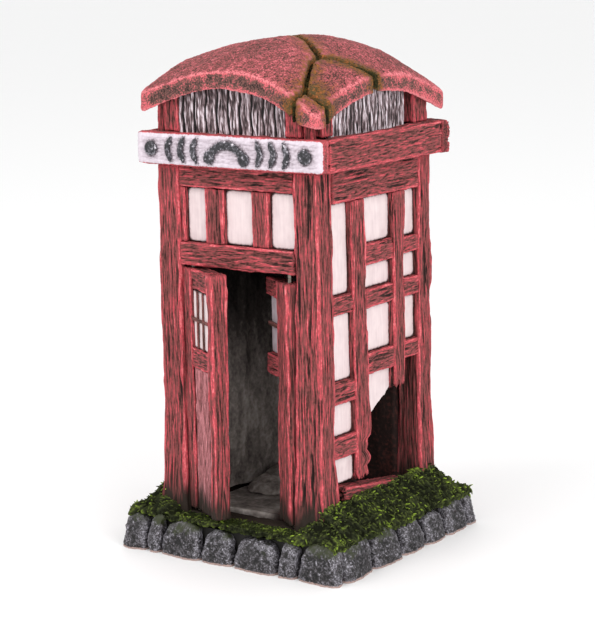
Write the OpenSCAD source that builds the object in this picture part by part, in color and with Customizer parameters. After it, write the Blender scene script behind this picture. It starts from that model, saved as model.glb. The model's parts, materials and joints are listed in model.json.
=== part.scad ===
// Derelict timber telephone booth: a small hand-painted display ornament.
// Millimetres. +Z is up, the doorway faces -Y, and the origin is under the middle of the base.
// Every timber, pane, stone row and roof fragment is a solid of its own.
// The two door leaves turn on vertical wire pins.

/* [Base] */
// Width of the stone-edged base, left to right
base_w = 86; // [84:1:90]
// Depth of the stone-edged base, front to back
base_d = 86; // [86:1:90]
// Thickness of the slab under the moss
slab_h = 10; // [9.5:0.1:10]
// How far the edging stones reach in from the outer edge
stone_depth = 5.6; // [5:0.1:5.6]

/* [Cabin] */
// Width over the corner posts
booth_w = 62; // [61.8:0.1:62.2]
// Depth over the corner posts
booth_d = 66; // [65.8:0.1:66.2]
// Height of the post tops, where the fascia boards start
post_top = 126; // [125:0.5:127]
// Width of a post seen from the side walls
post_d = 8; // [7.8:0.1:8]
// Thickness of the window bars and rails
bar_t = 5; // [4.6:0.1:5]
// Thickness of a pane
pane_t = 1.2; // [1:0.1:1.4]

/* [Door leaves] */
// Opening of the left leaf, outwards from closed, as it stands
left_open = 30; // [20:1:40]
// Opening of the right leaf, inwards from closed, as it stands
right_open = 35; // [20:1:45]
// Length of the left leaf from its pivot to its free edge
left_leaf_l = 19.8; // [19:0.1:19.8]
// Length of the right leaf from its pivot to its free edge
right_leaf_l = 16.6; // [16:0.1:16.6]
// Radius of the wire pins that the leaves turn on
pin_r = 0.8; // [0.6:0.05:0.8]
// Radial clearance of a pin in the booth's bores
pin_gap = 0.05; // [0.03:0.01:0.08]

/* [Head] */
// Height of the fascia boards
fascia_h = 10.4; // [10:0.1:11]
// Thickness of the fascia boards
fascia_t = 4.4; // [4:0.1:4.4]
// Outer radius of the domed roof shell
roof_r = 73.6; // [73.4:0.1:73.8]
// Thickness of the roof shell
roof_t = 4.8; // [4.5:0.1:5]
// Height of the roof's highest point
roof_top = 165; // [164:0.5:166]
// Width of the cracks in the roof
crack_w = 1.2; // [1:0.1:1.6]

/* [Hidden] */
$fn = 48;
gap = 0.1;
eps = 0.01;

hx = booth_w / 2;
hy = booth_d / 2;
ex = base_w / 2;
ey = base_d / 2;
slab_x = ex - stone_depth;
slab_y = ey - stone_depth;
timber_foot = slab_h + gap;
head_top = post_top - gap;

// doorway jambs: inner faces of the two front posts
jamb_left = -hx + 8.5;
jamb_right = hx - 9.3;
back_jamb = hx - 8.7;
side_y = hy - post_d - gap;
front_inner = -hy + 6;

// front wall levels
transom_lo = 94;
transom_hi = 101.3;
head_lo = 119;
sill_hi = 13;
floor_hi = 14;
mullions = [[jamb_left + gap, -20.4], [-12.3, -5.4], [5.5, 12]];

// side wall levels, column by column from the front
side_head_lo = 115.5;
rows_1 = [[80.5, 86.4], [52.3, 59.1], [34.7, 41.6]];
rows_2 = [[94, 100.6], [80.4, 86.1], [58.7, 65.5]];
rows_3 = [[94.7, 100.1], [80.5, 86.3], [59.9, 65.7]];
left_rows = [[94, 100.6], [80.4, 86.2], [58.9, 65.6], [36.4, 43]];
low_pane_z = 26;
bar_1_near = -14.6;
bar_1_w = 7.9;
bar_1_lean = 0.0288;
bar_2_near = 10;
bar_2_far = 16.5;
pane_set = 2.2;
left_columns = [[-side_y, -12.5], [-4.8, bar_2_near - gap], [bar_2_far + gap, side_y]];

// rock lining inside the walls
lining_t = 3.6;
lining_x = hx - bar_t - gap;
lining_y = hy - 6 - gap;
lining_lo = floor_hi + gap;

// door leaves
left_t = 5.5;
right_t = 5;
edge_run = 3.05;
jamb_gap = 0.35;
left_pivot = [jamb_left + jamb_gap + edge_run, -hy + left_t / 2];
right_pivot = [jamb_right - jamb_gap - edge_run + 0.25, -hy + right_t / 2];
leaf_lo = 14.2;
left_hi = 93.2;
right_hi = 91;
left_stile = 3.3;
left_free = 16.3;
right_stile = 6.4;
rail_lo = 61.5;
rail_hi = 67.8;
light_hi = 86.6;
pin_grip = 4;

// head of the booth
fascia_x = hx + 4.5;
fascia_y = hy + 4;
deck_lo = post_top + gap;
deck_hi = 129;
core_x = hx - 3.6;
core_y = hy - 3.6;
light_z = deck_hi + gap;
fascia_top = post_top + fascia_h + gap;
roof_centre = [-3.5, 1, roof_top - roof_r];
under_r = roof_r - roof_t - 2 * gap;
roof_x = hx + 2.3;
roof_y = hy + 4;
roof_cut = 140;
roof_corner = 4;
near_corner = 2;

// the clerestory stands a little to the left of the walls below it
clerestory_shift = -0.6;
panel_x = 20.8;
front_post = [20.9, 25.9];
side_panel = [-24.4, 17.8];
side_posts = [[-29.9, -24.5], [22, 29.9]];
corner_lo = [26, 30];
corner_hi = [29.6, 32.2];

// roof cracks in plan: one runs from the crown to a fork, and both of its branches reach the eaves
crack_fork = [20, -15];
tip_fork = [26, -32];
crack_main = [[-4, 4], crack_fork];
crack_right = [crack_fork, [22, -12], [31, -5], [40, 3]];
crack_down = [crack_fork, [20, -19], tip_fork];
crack_tip = [[24, -42], tip_fork, [31, -31], [40, -27]];

// the two loose pieces lie between the cracks' middle lines
function reversed(route) = [for (i = [len(route) - 1:-1:0]) route[i]];
wedge_area = concat(crack_right, [[40, -27], [31, -31]], reversed(crack_down));
tip_area = concat(crack_tip, [[42, -42]]);

// ---- shared shapes ----

// a square-edged block between two corners
module block(lo, hi) {
    translate(lo) cube(hi - lo);
}

// an outline drawn in depth and height, run along X
module along_x(x0, x1, outline) {
    translate([x0, 0, 0]) rotate([90, 0, 90]) linear_extrude(x1 - x0) polygon(outline);
}

// an outline drawn in width and height, run along Y
module along_y(y0, y1, outline) {
    translate([0, y1, 0]) rotate([90, 0, 0]) linear_extrude(y1 - y0) polygon(outline);
}

// the panes' levels between rails listed from the top down
function light_rows(rails, top) =
    [for (i = [0 : len(rails) - 1]) [rails[i][1], i == 0 ? top : rails[i - 1][0]]];

// near and far edges of the leaning front bar at a height
function bar_near(z) = bar_1_near + (side_head_lo - z) * bar_1_lean;
function bar_far(z) = bar_near(z) + bar_1_w;

// a four-sided cell in front of, between or behind the side wall's bars
function cell_1(z, g) = [[-side_y, z[0] + g], [bar_near(z[0]) - gap, z[0] + g],
                         [bar_near(z[1]) - gap, z[1] - g], [-side_y, z[1] - g]];
function cell_2(z, g) = [[bar_far(z[0]) + gap, z[0] + g], [bar_2_near - gap, z[0] + g],
                         [bar_2_near - gap, z[1] - g], [bar_far(z[1]) + gap, z[1] - g]];
function cell_3(z, g) = [[bar_2_far + gap, z[0] + g], [side_y, z[0] + g],
                         [side_y, z[1] - g], [bar_2_far + gap, z[1] - g]];

// ---- base ----

// a row of edging stones along +X, its outer face on Y = 0
module stone_row(widths, turn) {
    starts = [for (i = 0, x = 0; i < len(widths); x = x + widths[i], i = i + 1) x];
    for (i = [0 : len(widths) - 1]) {
        high = 11.3 + 1.2 * sin(67 * i + turn);
        along_x(starts[i] + 0.25, starts[i] + widths[i] - 0.25,
                [[0.5, 0], [0, 1.2], [0.4, high * 0.7], [2, high],
                 [stone_depth - gap, high], [stone_depth - gap, 0]]);
    }
}

module base_slab() {
    color("#3c3b3d") block([-slab_x, -slab_y, 0], [slab_x, slab_y, slab_h]);
}

module edge_stones_front() {
    color("#6f6d75") translate([-ex, -ey, 0])
        stone_row([10.5, 5.5, 16.5, 12.5, 17, 8, base_w - 70], 20);
}

module edge_stones_right() {
    side = base_d - 2 * stone_depth;
    color("#6f6d75") translate([ex, -slab_y, 0]) rotate([0, 0, 90])
        stone_row([16.8, 17, 14, 13, side - 60.8], 75);
}

module edge_stones_back() {
    color("#6f6d75") translate([ex, ey, 0]) rotate([0, 0, 180])
        stone_row([12, 15, 9, 14.5, 7.5, 16, base_w - 74], 130);
}

module edge_stones_left() {
    side = base_d - 2 * stone_depth;
    color("#6f6d75") translate([-ex, slab_y, 0]) rotate([0, 0, -90])
        stone_row([14, 11, 17, 8.5, 13, side - 63.5], 200);
}

module moss_bank() {
    flat = [[-slab_y, timber_foot], [-slab_y, 12], [-slab_y + 1.8, 13.4],
            [-hy - gap, 13.8], [-hy - gap, timber_foot]];
    steep = [[hx + gap, timber_foot], [hx + gap, 19], [hx + 3, 16.5],
             [slab_x, 12], [slab_x, timber_foot]];
    color("#5c7a1e") along_x(-slab_x, slab_x, flat);
    color("#5c7a1e") rotate([0, 0, 180]) along_x(-slab_x, slab_x, flat);
    color("#5c7a1e") along_y(-hy, hy, steep);
    color("#5c7a1e") rotate([0, 0, 180]) along_y(-hy, hy, steep);
}

module cabin_floor() {
    color("#4a4643") block([-back_jamb + gap, -hy + post_d + gap, timber_foot],
                           [back_jamb - gap, lining_y, floor_hi]);
}

// fallen rocks heaped against the left and back of the cabin
module floor_rubble() {
    rocks = [[-12, -1, 10, 9], [-13, 12, 10, 10.5], [-2, 15, 11, 8], [8, 13, 10, 7],
             [15, 5, 10, 6], [-1, 4, 9, 8]];
    inner_x = lining_x - lining_t - 2 * gap;
    color("#6b6562") intersection() {
        union() for (r = rocks) translate([r[0], r[1], r[2]]) sphere(r[3]);
        block([-inner_x, -12, lining_lo], [inner_x, lining_y - lining_t - 4 * gap, 30]);
    }
}

// ---- front wall ----

module corner_post(x0, x1, y0, y1) {
    color("#8f3f44") block([x0, y0, timber_foot], [x1, y1, head_top]);
}

module corner_post_front_left() {
    corner_post(-hx, jamb_left, -hy, -hy + post_d);
}

module corner_post_front_right() {
    corner_post(jamb_right, hx, -hy, -hy + post_d);
}

module corner_post_back_left() {
    corner_post(-hx, -back_jamb, hy - post_d, hy);
}

module corner_post_back_right() {
    corner_post(back_jamb, hx, hy - post_d, hy);
}

module door_sill() {
    color("#5a3c38") difference() {
        block([jamb_left + gap, -hy, timber_foot], [jamb_right - gap, front_inner, sill_hi]);
        for (p = [left_pivot, right_pivot])
            translate([p[0], p[1], slab_h + 0.6]) cylinder(r = pin_r + pin_gap, h = 5);
    }
}

module transom_rail() {
    color("#8f3f44") difference() {
        block([jamb_left + gap, -hy, transom_lo], [jamb_right - gap, front_inner, transom_hi]);
        for (p = [left_pivot, right_pivot])
            translate([p[0], p[1], transom_lo - 1]) cylinder(r = pin_r + pin_gap, h = pin_grip + 1);
    }
}

module front_head_rail() {
    color("#8f3f44") block([jamb_left + gap, -hy + 0.3, head_lo],
                           [jamb_right - gap, front_inner, head_top]);
}

module transom_mullions() {
    color("#8f3f44") for (m = mullions)
        block([m[0], -hy + 0.5, transom_hi + gap], [m[1], front_inner - 1, head_lo - gap]);
}

module transom_panes() {
    stops = [mullions[1][0], mullions[2][0], jamb_right];
    color("#f0dfe0") for (i = [0 : 2])
        block([mullions[i][1] + gap, -hy + pane_set, transom_hi + gap],
              [stops[i] - gap, -hy + pane_set + pane_t, head_lo - gap]);
}

// ---- right wall ----

module right_head_rail() {
    color("#8f3f44") block([hx - bar_t, -side_y, side_head_lo], [hx, side_y, head_top]);
}

module right_front_bar() {
    low = 25.2;
    color("#8f3f44") along_x(hx - bar_t, hx - 0.2,
        [[bar_near(side_head_lo), side_head_lo - gap], [bar_near(low), low],
         [bar_near(low) + 4, low + 1.5], [bar_far(low), low + 0.5],
         [bar_far(side_head_lo), side_head_lo - gap]]);
}

module right_rear_bar() {
    color("#8f3f44") along_x(hx - bar_t, hx - 0.2,
        [[bar_2_near, side_head_lo - gap], [bar_2_near, 52], [11.4, 50.6], [12.6, 53],
         [14.4, 51.6], [bar_2_far, 55.5], [bar_2_far, side_head_lo - gap]]);
}

module right_window_rails() {
    color("#8f3f44") {
        for (z = rows_1) along_x(hx - bar_t, hx - 0.4, cell_1(z, 0));
        for (z = rows_2) along_x(hx - bar_t, hx - 0.4, cell_2(z, 0));
        for (z = rows_3) along_x(hx - bar_t, hx - 0.4, cell_3(z, 0));
    }
}

module right_panes() {
    face = hx - pane_set;
    back = face - pane_t;
    color("#f0dfe0") {
        for (z = light_rows(rows_1, side_head_lo)) along_x(back, face, cell_1(z, gap));
        along_x(back, face, cell_1([low_pane_z, rows_1[2][0]], gap));
        for (z = light_rows(rows_2, side_head_lo)) along_x(back, face, cell_2(z, gap));
        for (z = light_rows(rows_3, side_head_lo)) along_x(back, face, cell_3(z, gap));
        along_x(back, face, [[bar_far(58) + gap, 58.6], [bar_2_near - gap, 58.6], [bar_2_near - gap, 51.5],
                             [7, 50], [4, 48], [1, 46.5], [-1.5, 45], [bar_far(45) + gap, 44.6]]);
    }
}

// a board that has dropped off the wall and lies along its foot
module right_sill_plank() {
    color("#8f3f44") along_x(hx - bar_t, hx - gap,
        [[-21.5, 21.5], [-20.6, 24.8], [-4, 24.2], [16, 19.8], [14.5, 17.6], [-17.5, 17.8]]);
}

// ---- left wall, the same pattern as the right one but whole ----

module left_head_rail() {
    color("#8f3f44") block([-hx, -side_y, side_head_lo], [-hx + bar_t, side_y, head_top]);
}

module left_window_bars() {
    color("#8f3f44") for (y = [[-12.4, -4.9], [bar_2_near, bar_2_far]])
        block([-hx + 0.2, y[0], 25.1], [-hx + bar_t, y[1], side_head_lo - gap]);
}

module left_window_rails() {
    color("#8f3f44") {
        for (c = left_columns, z = left_rows)
            block([-hx + 0.4, c[0], z[0]], [-hx + bar_t, c[1], z[1]]);
        block([-hx, -side_y, timber_foot], [-hx + bar_t, side_y, 25]);
    }
}

module left_panes() {
    lights = concat(light_rows(left_rows, side_head_lo), [[25, left_rows[3][0]]]);
    color("#f0dfe0") for (c = left_columns, z = lights)
        block([-hx + pane_set, c[0], z[0] + gap], [-hx + pane_set + pane_t, c[1], z[1] - gap]);
}

// ---- back wall ----

module back_planks() {
    inner = back_jamb - gap;
    wide = (2 * inner - 3 * gap) / 4;
    color("#8f3f44") for (i = [0 : 3])
        block([-inner + i * (wide + gap), hy - 6, timber_foot],
              [-inner + i * (wide + gap) + wide, hy - 3.1, head_top]);
}

module back_rails() {
    inner = back_jamb - gap;
    color("#8f3f44") for (z = [[timber_foot, 22], [66, 73], [118, head_top]])
        block([-inner, hy - 3, z[0]], [inner, hy, z[1]]);
}

// ---- rock lining ----

module rock_lining_left() {
    color("#5d5856") block([-lining_x, -side_y, lining_lo],
                           [-lining_x + lining_t, lining_y - lining_t - 2 * gap, head_top]);
}

module rock_lining_back() {
    color("#5d5856") block([-back_jamb + gap, lining_y - lining_t - gap, lining_lo],
                           [back_jamb - gap, lining_y, head_top]);
}

// broken through behind the missing panes
module rock_lining_right() {
    far = lining_y - lining_t - 2 * gap;
    color("#5d5856") along_x(lining_x - lining_t, lining_x,
        [[-side_y, lining_lo], [-7, lining_lo], [-6, 27], [-8.5, 38], [-4.5, 44.5], [4, 51],
         [11, 53.5], [17, 57.5], [far, 59.5], [far, head_top], [-side_y, head_top]]);
    color("#5d5856") block([lining_x - lining_t, -6.8, lining_lo], [lining_x, far, 19.5]);
}

// ---- left leaf, hung on its left edge and swung outwards ----

module on_left_leaf() {
    translate([left_pivot[0], left_pivot[1], 0]) rotate([0, 0, -left_open]) children();
}

module left_leaf_hinge_stile() {
    half = left_t / 2;
    color("#a04a4e") on_left_leaf() difference() {
        translate([0, 0, leaf_lo]) linear_extrude(left_hi - leaf_lo)
            polygon([[-2.7, -1.3], [-1.3, -half], [left_stile, -half],
                     [left_stile, half], [-1.3, half], [-2.7, 1.3]]);
        translate([0, 0, leaf_lo - 1]) cylinder(r = pin_r + 0.02, h = pin_grip + 1);
        translate([0, 0, left_hi - pin_grip]) cylinder(r = pin_r + 0.02, h = pin_grip + 1);
    }
}

module left_leaf_free_stile() {
    color("#a04a4e") on_left_leaf()
        block([left_free, -left_t / 2, leaf_lo], [left_leaf_l, left_t / 2, left_hi]);
}

module left_leaf_rails() {
    color("#a04a4e") on_left_leaf() for (z = [[light_hi, left_hi], [rail_lo, rail_hi]])
        block([left_stile + gap, -left_t / 2 + 0.2, z[0]],
              [left_free - gap, left_t / 2 - 0.2, z[1]]);
}

module left_leaf_panel() {
    color("#d98a95") on_left_leaf()
        block([left_stile + gap, -1.9, leaf_lo], [left_free - gap, 1.9, rail_lo - gap]);
}

module left_leaf_glazing_bars() {
    lo = rail_hi + gap;
    hi = light_hi - gap;
    mid = (lo + hi) / 2;
    wide = left_free - left_stile - 2 * gap;
    color("#5a3c38") on_left_leaf() union() {
        block([left_stile + gap, -2.6, mid - 0.5], [left_free - gap, -1.9, mid + 0.5]);
        for (i = [1, 2]) translate([left_stile + gap + i * wide / 3, 0, 0])
            block([-0.35, -2.5, lo], [0.35, -1.9, hi]);
    }
}

module left_leaf_panes() {
    color("#f0dfe0") on_left_leaf()
        block([left_stile + gap, -1.8, rail_hi + gap], [left_free - gap, -0.6, light_hi - gap]);
}

module left_leaf_pins() {
    color("#6c6258") translate([left_pivot[0], left_pivot[1], 0]) {
        translate([0, 0, slab_h + 0.8]) cylinder(r = pin_r, h = leaf_lo + pin_grip - slab_h - 1);
        translate([0, 0, left_hi - pin_grip + 0.2]) cylinder(r = pin_r, h = pin_grip + 4);
    }
}

// ---- right leaf, hung on its right edge and pushed inwards ----

module on_right_leaf() {
    translate([right_pivot[0], right_pivot[1], 0]) rotate([0, 0, 180 - right_open]) children();
}

module right_leaf_hinge_stile() {
    half = right_t / 2;
    color("#8f3f44") on_right_leaf() difference() {
        translate([0, 0, leaf_lo]) linear_extrude(right_hi - leaf_lo)
            polygon([[-2.7, -1.2], [-1.3, -half], [right_stile, -half],
                     [right_stile, half], [-1.3, half], [-2.7, 1.2]]);
        translate([0, 0, leaf_lo - 1]) cylinder(r = pin_r + 0.02, h = pin_grip + 1);
        translate([0, 0, right_hi - pin_grip]) cylinder(r = pin_r + 0.02, h = pin_grip + 1);
    }
}

module right_leaf_rails() {
    color("#8f3f44") on_right_leaf() for (z = [[85.2, right_hi], [60, 66.5]])
        block([right_stile + gap, -right_t / 2 + 0.2, z[0]],
              [right_leaf_l, right_t / 2 - 0.2, z[1]]);
}

module right_leaf_glazing_bar() {
    color("#5a3c38") on_right_leaf()
        block([right_stile + gap, 0.7, 75.4], [right_leaf_l - 0.2, 1.8, 76.6]);
}

module right_leaf_panes() {
    color("#f0dfe0") on_right_leaf()
        block([right_stile + gap, -0.6, 66.6], [right_leaf_l - 0.2, 0.6, 85.1]);
}

// stubs of the missing panel, still in the stile
module right_leaf_splinters() {
    from = right_stile + gap;
    color("#8f3f44") on_right_leaf() {
        along_y(-1.2, 1.2, [[from, 47], [from, 52.5], [from + 1.6, 50.6], [from + 3.4, 47.4]]);
        along_y(-1.2, 1.2, [[from, 29.6], [from, 34.4], [from + 1.4, 33], [from + 2.8, 30.4]]);
    }
}

module right_leaf_pins() {
    color("#6c6258") translate([right_pivot[0], right_pivot[1], 0]) {
        translate([0, 0, slab_h + 0.8]) cylinder(r = pin_r, h = leaf_lo + pin_grip - slab_h - 1);
        translate([0, 0, right_hi - pin_grip + 0.2]) cylinder(r = pin_r, h = pin_grip + 6.2);
    }
}

// ---- fascia and sign ----

module fascia_front() {
    color("#e6dbe4") block([-fascia_x, -fascia_y, post_top],
                           [fascia_x, -fascia_y + fascia_t, post_top + fascia_h]);
}

module fascia_right() {
    side = fascia_y - fascia_t - gap;
    color("#8f3f44") block([fascia_x - fascia_t, -side, post_top],
                           [fascia_x, side, post_top + fascia_h]);
}

module fascia_back() {
    color("#8f3f44") block([-fascia_x, fascia_y - fascia_t, post_top],
                           [fascia_x, fascia_y, post_top + fascia_h]);
}

module fascia_left() {
    side = fascia_y - fascia_t - gap;
    color("#8f3f44") block([-fascia_x, -side, post_top],
                           [-fascia_x + fascia_t, side, post_top + fascia_h]);
}

// raised, plain marks: a handset between spreading rings, with a dot at each end
module sign_marks() {
    mid = post_top + fascia_h / 2;
    thick = 0.8;
    color("#2c2c30") translate([0, -fascia_y - gap, mid]) rotate([90, 0, 0]) {
        difference() {
            translate([0, -5, 0]) cylinder(r = 8.4, h = thick);
            translate([0, -5, -1]) cylinder(r = 6, h = thick + 2);
            translate([-12, -16, -1]) cube([24, 13.6, thick + 2]);
        }
        for (s = [-1, 1]) translate([s * 6.6, -1.9, 0]) cylinder(r = 2, h = thick);
        for (s = [-1, 1], x = [9, 14, 19]) intersection() {
            translate([s * x, 0, 0]) difference() {
                cylinder(r = 4.8, h = thick);
                translate([0, 0, -1]) cylinder(r = 3, h = thick + 2);
            }
            translate([s > 0 ? x + 2.4 : -x - 7.4, -5, 0]) cube([5, 10, thick]);
        }
        for (s = [-1, 1]) translate([s * 29.5, 0, 0]) cylinder(r = 2.3, h = thick);
    }
}

// ---- head of the booth ----

// keeps a shape under the roof shell's hollow
module under_roof() {
    intersection() {
        translate([clerestory_shift, 0, 0]) children();
        translate(roof_centre) sphere(under_r, $fn = 96);
    }
}

module ceiling_deck() {
    inner = fascia_x - fascia_t - gap;
    deep = fascia_y - fascia_t - gap;
    color("#4a3a36") block([-inner, -deep, deck_lo], [inner, deep, deck_hi]);
}

module clerestory_core() {
    color("#2a2428") under_roof()
        block([-core_x, -core_y, light_z], [core_x, core_y, roof_top]);
}

module clerestory_panels() {
    color("#6a6268") under_roof() {
        for (my = [0, 1]) mirror([0, my, 0])
            block([-panel_x, core_y + gap, fascia_top], [panel_x, hy, roof_top]);
        for (mx = [0, 1]) mirror([mx, 0, 0])
            block([core_x + gap, side_panel[0], fascia_top], [hx, side_panel[1], roof_top]);
    }
}

module clerestory_posts() {
    color("#8f3f44") under_roof() for (mx = [0, 1]) mirror([mx, 0, 0]) {
        for (my = [0, 1]) mirror([0, my, 0])
            block([front_post[0], core_y + gap, fascia_top],
                  [front_post[1], hy + 0.8, roof_top]);
        for (y = side_posts)
            block([core_x + gap, y[0], fascia_top], [hx + 0.8, y[1], roof_top]);
    }
}

module clerestory_corner_blocks() {
    color("#6b3034") under_roof() for (mx = [0, 1], my = [0, 1])
        mirror([mx, 0, 0]) mirror([0, my, 0])
            block([corner_lo[0], corner_lo[1], light_z], [corner_hi[0], corner_hi[1], roof_top]);
}

// ---- roof ----

// a crack of even width along a route in plan
module crack(route, wide) {
    for (i = [0 : len(route) - 2]) {
        step = route[i + 1] - route[i];
        translate([route[i][0], route[i][1], 130]) rotate([0, 0, atan2(step[1], step[0])])
            translate([0, -wide / 2, 0]) cube([norm(step), wide, 50]);
    }
    for (p = route) translate([p[0], p[1], 130]) cylinder(r = wide / 2 + eps, h = 50, $fn = 24);
}

module all_cracks(wide) {
    for (route = [crack_main, crack_right, crack_down, crack_tip]) crack(route, wide);
}

// plan of the roof: a rectangle with rounded corners, tightest at the near right one
module roof_plan() {
    corners = [[-1, -1, roof_corner], [1, -1, near_corner], [1, 1, roof_corner],
               [-1, 1, roof_corner]];
    square([2 * (roof_x - roof_corner), 2 * roof_y], center = true);
    square([2 * roof_x, 2 * (roof_y - roof_corner)], center = true);
    translate([roof_x - roof_corner, -roof_y]) square([roof_corner - near_corner, roof_corner]);
    translate([roof_x - roof_corner, near_corner - roof_y])
        square([roof_corner, roof_corner - near_corner + eps]);
    for (c = corners)
        translate([c[0] * (roof_x - c[2]), c[1] * (roof_y - c[2])]) circle(c[2]);
}

module dome(outer, inner) {
    intersection() {
        difference() {
            translate(roof_centre) sphere(outer, $fn = 96);
            translate(roof_centre) sphere(inner, $fn = 96);
        }
        translate([0, 0, roof_cut]) linear_extrude(roof_top - roof_cut + 5) roof_plan();
    }
}

module area(outline) {
    translate([0, 0, 120]) linear_extrude(60) polygon(outline);
}

module roof_shell() {
    color("#b0485a") difference() {
        dome(roof_r, roof_r - roof_t);
        area(wedge_area);
        area(tip_area);
        all_cracks(crack_w);
    }
}

module roof_wedge() {
    color("#b0485a") difference() {
        intersection() {
            dome(roof_r, roof_r - roof_t);
            area(wedge_area);
        }
        all_cracks(crack_w);
    }
}

module roof_corner_tip() {
    color("#b0485a") difference() {
        intersection() {
            dome(roof_r, roof_r - roof_t);
            area(tip_area);
        }
        all_cracks(crack_w);
    }
}

module crack_moss() {
    color("#5a4a1e") intersection() {
        dome(roof_r - 1, roof_r - roof_t);
        all_cracks(crack_w - 2 * gap);
    }
}

base_slab();
edge_stones_front();
edge_stones_right();
edge_stones_back();
edge_stones_left();
moss_bank();
cabin_floor();
floor_rubble();
door_sill();
corner_post_front_left();
corner_post_front_right();
corner_post_back_left();
corner_post_back_right();
front_head_rail();
transom_mullions();
transom_panes();
transom_rail();
right_head_rail();
right_front_bar();
right_rear_bar();
right_window_rails();
right_panes();
right_sill_plank();
left_head_rail();
left_window_bars();
left_window_rails();
left_panes();
back_planks();
back_rails();
rock_lining_left();
rock_lining_back();
rock_lining_right();
left_leaf_hinge_stile();
left_leaf_free_stile();
left_leaf_rails();
left_leaf_panel();
left_leaf_glazing_bars();
left_leaf_panes();
left_leaf_pins();
right_leaf_hinge_stile();
right_leaf_rails();
right_leaf_glazing_bar();
right_leaf_panes();
right_leaf_splinters();
right_leaf_pins();
fascia_front();
fascia_right();
fascia_back();
fascia_left();
sign_marks();
ceiling_deck();
clerestory_core();
clerestory_panels();
clerestory_posts();
clerestory_corner_blocks();
roof_shell();
roof_wedge();
roof_corner_tip();
crack_moss();
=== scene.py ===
# %% [markdown]
# A derelict timber telephone booth, about 165 mm tall. It is an ornament: cast in resin, carved to look
# like old joinery, painted dark, and then dry-brushed so that bright paint catches only on the ridges. The
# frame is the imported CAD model, and every piece below is built over the CAD solid whose place it takes.

# %% Load the frame
import json
import math
import random

import bpy
import numpy as np
from mathutils import Matrix, Vector
from mathutils.kdtree import KDTree


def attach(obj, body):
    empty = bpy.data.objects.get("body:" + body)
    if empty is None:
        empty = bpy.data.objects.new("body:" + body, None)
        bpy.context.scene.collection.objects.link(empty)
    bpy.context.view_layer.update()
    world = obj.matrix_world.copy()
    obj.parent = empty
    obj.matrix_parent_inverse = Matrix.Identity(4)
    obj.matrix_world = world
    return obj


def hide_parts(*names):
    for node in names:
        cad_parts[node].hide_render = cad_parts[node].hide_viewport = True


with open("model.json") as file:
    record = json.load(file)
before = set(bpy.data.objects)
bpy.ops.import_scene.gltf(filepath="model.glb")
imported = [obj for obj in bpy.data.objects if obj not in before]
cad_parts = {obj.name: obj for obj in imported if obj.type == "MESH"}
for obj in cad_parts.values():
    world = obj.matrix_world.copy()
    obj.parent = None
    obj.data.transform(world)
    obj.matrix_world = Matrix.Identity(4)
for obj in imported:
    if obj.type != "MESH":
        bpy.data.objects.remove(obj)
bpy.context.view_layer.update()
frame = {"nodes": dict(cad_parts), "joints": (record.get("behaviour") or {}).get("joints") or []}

MM = 0.001

# %% [markdown]
# Most operators act on whatever is selected, and loading the frame leaves its nodes selected. So each step
# first says which one object it works on. A texture for carving needs a space of its own: one empty, the
# probe, is stretched along the grain, and the texture is read in the probe's units. That turns a round
# noise into long fibres.

# %% Selecting, placing and measuring
ops = bpy.ops
scene = bpy.context.scene
probe = bpy.data.objects.new("carving_space", None)
scene.collection.objects.link(probe)


def work_on(*objects):
    """Selects only these objects and makes the first one active."""
    ops.object.select_all(action="DESELECT")
    for o in objects:
        o.select_set(True)
    bpy.context.view_layer.objects.active = objects[0]
    return objects[0]


def edit(select="SELECT", mode="EDGE"):
    ops.object.mode_set(mode="EDIT")
    ops.mesh.select_mode(type=mode)
    ops.mesh.select_all(action=select)


def done():
    ops.object.mode_set(mode="OBJECT")


def points(obj):
    co = np.empty(len(obj.data.vertices) * 3, np.float32)
    obj.data.vertices.foreach_get("co", co)
    return co.reshape(-1, 3)


def set_points(obj, co):
    obj.data.vertices.foreach_set("co", np.asarray(co, np.float32).ravel())
    obj.data.update()


def normals(obj):
    n = np.empty(len(obj.data.vertices) * 3, np.float32)
    obj.data.vertex_normals.foreach_get("vector", n)
    return n.reshape(-1, 3)


def keep(obj, name, values):
    """Stores one number or one vector per point, for the materials to read."""
    values = np.asarray(values, np.float32)
    kind = "FLOAT_VECTOR" if values.ndim == 2 else "FLOAT"
    a = obj.data.attributes.get(name) or obj.data.attributes.new(name, kind, "POINT")
    a.data.foreach_set("vector" if values.ndim == 2 else "value", values.ravel())


def kept(obj, name):
    """Reads back one number per point."""
    values = np.empty(len(obj.data.vertices), np.float32)
    obj.data.attributes[name].data.foreach_get("value", values)
    return values


def settle(obj, matrix=None):
    """Puts the object in place and then moves that place into its mesh."""
    if matrix is not None:
        obj.matrix_world = matrix
    work_on(obj)
    ops.object.transform_apply(location=True, rotation=True, scale=True)
    return obj


def finish_modifier(obj, kind, **settings):
    mod = obj.modifiers.new(kind.lower(), kind)
    for key, value in settings.items():
        setattr(mod, key, value)
    work_on(obj)
    ops.object.modifier_apply(modifier=mod.name)
    return obj


def named(name, obj):
    obj.name = obj.data.name = name
    return obj


def joined(name, parts):
    work_on(*parts)
    if len(parts) > 1:
        ops.object.join()
    return named(name, parts[0])


# %% [markdown]
# A row of window rails or edging stones is one CAD node that holds many solids. Its parts are needed one by
# one, so a copy of the node is merged and separated into loose pieces, and the box of each is measured. The
# leaves stand open, so their boxes are measured square to the leaf, in its own space.

# %% Reading the solids of a node
def copy_of(node):
    source = frame["nodes"][node]
    obj = bpy.data.objects.new(node + "_copy", source.data.copy())
    scene.collection.objects.link(obj)
    obj.data.materials.clear()
    work_on(obj)
    edit(mode="VERT")
    ops.mesh.remove_doubles(threshold=1e-6)
    done()
    return obj


def loose_copies(node):
    obj = copy_of(node)
    ops.mesh.separate(type="LOOSE")
    return list(bpy.context.selected_objects)


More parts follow.
